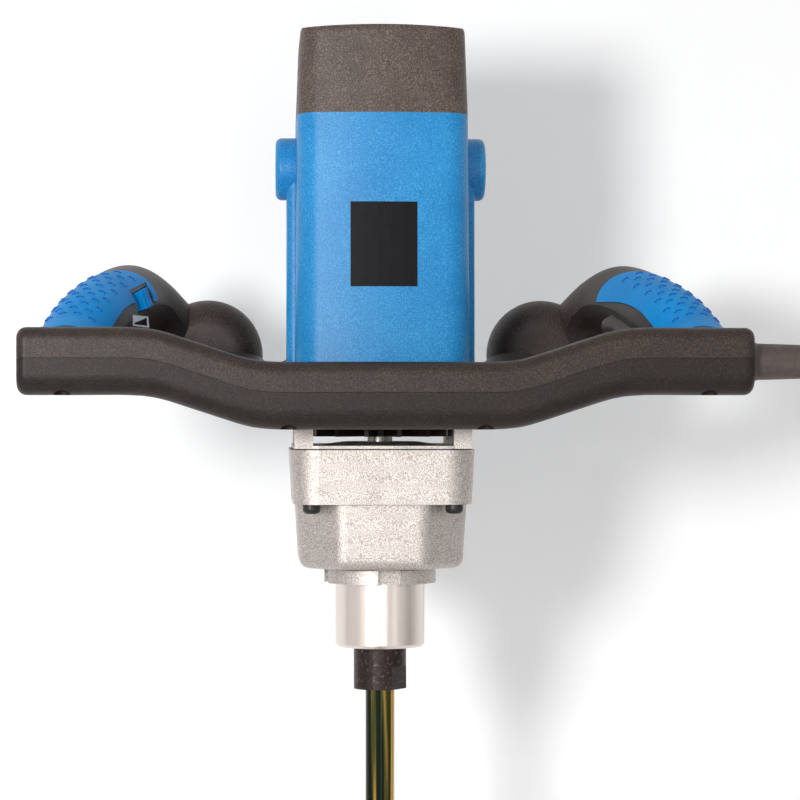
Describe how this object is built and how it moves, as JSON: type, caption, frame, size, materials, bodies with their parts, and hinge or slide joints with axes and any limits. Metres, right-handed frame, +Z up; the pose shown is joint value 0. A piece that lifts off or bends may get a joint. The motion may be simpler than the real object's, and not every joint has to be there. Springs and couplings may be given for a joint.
{
  "type": "mixing drill",
  "caption": "Upright electric mixing drill: handle frame round its motor housing, aluminium gear case with a clamping neck, geared spindle, helical paddle and a corded plug.",
  "frame": {"origin": "centre of the clamping neck: on the spindle's axis, half way up the neck's round wall", "axes": "+Z up along the spindle's axis, from the neck to the motor; the front bar of the handle is towards -Y"},
  "size_m": [0.4845, 0.2346, 0.8866],
  "materials": {
    "housing_blue": "satin",
    "pad_blue": "matte",
    "black_plastic": "matte",
    "cast_aluminium": "cast",
    "turned_aluminium": "turned",
    "black_steel": "satin",
    "bright_steel": "ground",
    "gear_steel": "ground",
    "lamination": "matte",
    "copper": "enamelled",
    "brass": "satin",
    "carbon": "matte",
    "gold_zinc": "satin",
    "screw_black": "satin",
    "seal_rubber": "matte",
    "grey_board": "matte"
  },
  "bodies": {
    "frame": {"gear_case": "cast_aluminium", "gear_case_screws": "screw_black", "case_gasket": "seal_rubber", "bearing_plate": "cast_aluminium", "bearing_shield": "cast_aluminium", "neck_seal": "seal_rubber", "neck_bearing": "bright_steel", "spindle_top_bearing": "bright_steel", "layshaft_lower_bearing": "bright_steel", "layshaft_upper_bearing": "bright_steel", "motor_lower_bearing": "bright_steel", "motor_upper_bearing": "bright_steel", "stator_core": "lamination", "field_coils": "copper", "air_baffle": "black_plastic", "motor_housing": "housing_blue", "motor_screws": "screw_black", "brush_holder_left": "brass", "brush_holder_right": "brass", "carbon_brush_left": "carbon", "carbon_brush_right": "carbon", "brush_spring_left": "bright_steel", "brush_spring_right": "bright_steel", "brush_cap_left": "black_plastic", "brush_cap_right": "black_plastic", "speed_controller": "grey_board", "top_cap": "black_plastic", "top_cap_screws": "screw_black", "handle_upper_shell": "black_plastic", "handle_lower_shell": "black_plastic", "left_grip_pad": "pad_blue", "right_grip_pad": "pad_blue", "handle_screws": "screw_black", "yoke_screws": "screw_black", "switch_module": "grey_board", "speed_dial": "grey_board", "suppressor_capacitor": "grey_board", "cord_clamp": "black_plastic", "cord_lead": "seal_rubber", "cord_boot": "seal_rubber", "power_cord": "seal_rubber", "cord_coil": "seal_rubber", "cord_tail": "seal_rubber", "coil_tie": "seal_rubber", "plug_body": "seal_rubber", "plug_pins": "bright_steel"},
    "spindle": {"spindle": "black_steel", "output_gear": "gear_steel", "paddle_rod": "gold_zinc", "paddle_blades": "gold_zinc", "paddle_hoop": "gold_zinc"},
    "layshaft": {"layshaft": "gear_steel", "layshaft_gear": "gear_steel"},
    "armature": {"armature_shaft": "gear_steel", "armature_core": "lamination", "armature_windings": "copper", "commutator": "copper", "cooling_fan": "black_plastic"},
    "trigger": {"trigger": "black_plastic"},
    "speed_wheel": {"speed_wheel": "pad_blue"}
  },
  "joints": [
    {"name": "spindle_spin", "type": "hinge", "parent": "frame", "child": "spindle", "pos_m": [0, 0, 0], "axis": [0, 0, 1], "continuous": true},
    {"name": "layshaft_spin", "type": "hinge", "parent": "frame", "child": "layshaft", "pos_m": [0, 0.027, 0], "axis": [0, 0, 1], "continuous": true},
    {"name": "armature_spin", "type": "hinge", "parent": "frame", "child": "armature", "pos_m": [0, 0, 0], "axis": [0, 0, 1], "continuous": true},
    {"name": "trigger_press", "type": "slide", "parent": "frame", "child": "trigger", "axis": [0.8306, 0.0489, 0.5547], "range_m": [0, 0.005], "stiffness_N_per_m": 1500, "springref_m": -0.002},
    {"name": "speed_wheel_turn", "type": "hinge", "parent": "frame", "child": "speed_wheel", "pos_m": [-0.12262, 0.00607, 0.14903], "axis": [0.3281, 0.1042, -0.9389], "range_deg": [0, 270]}
  ],
  "couplings": [
    {"joint": "layshaft_spin", "follows": "spindle_spin", "ratio": -4.4},
    {"joint": "armature_spin", "follows": "spindle_spin", "ratio": 19.36}
  ]
}
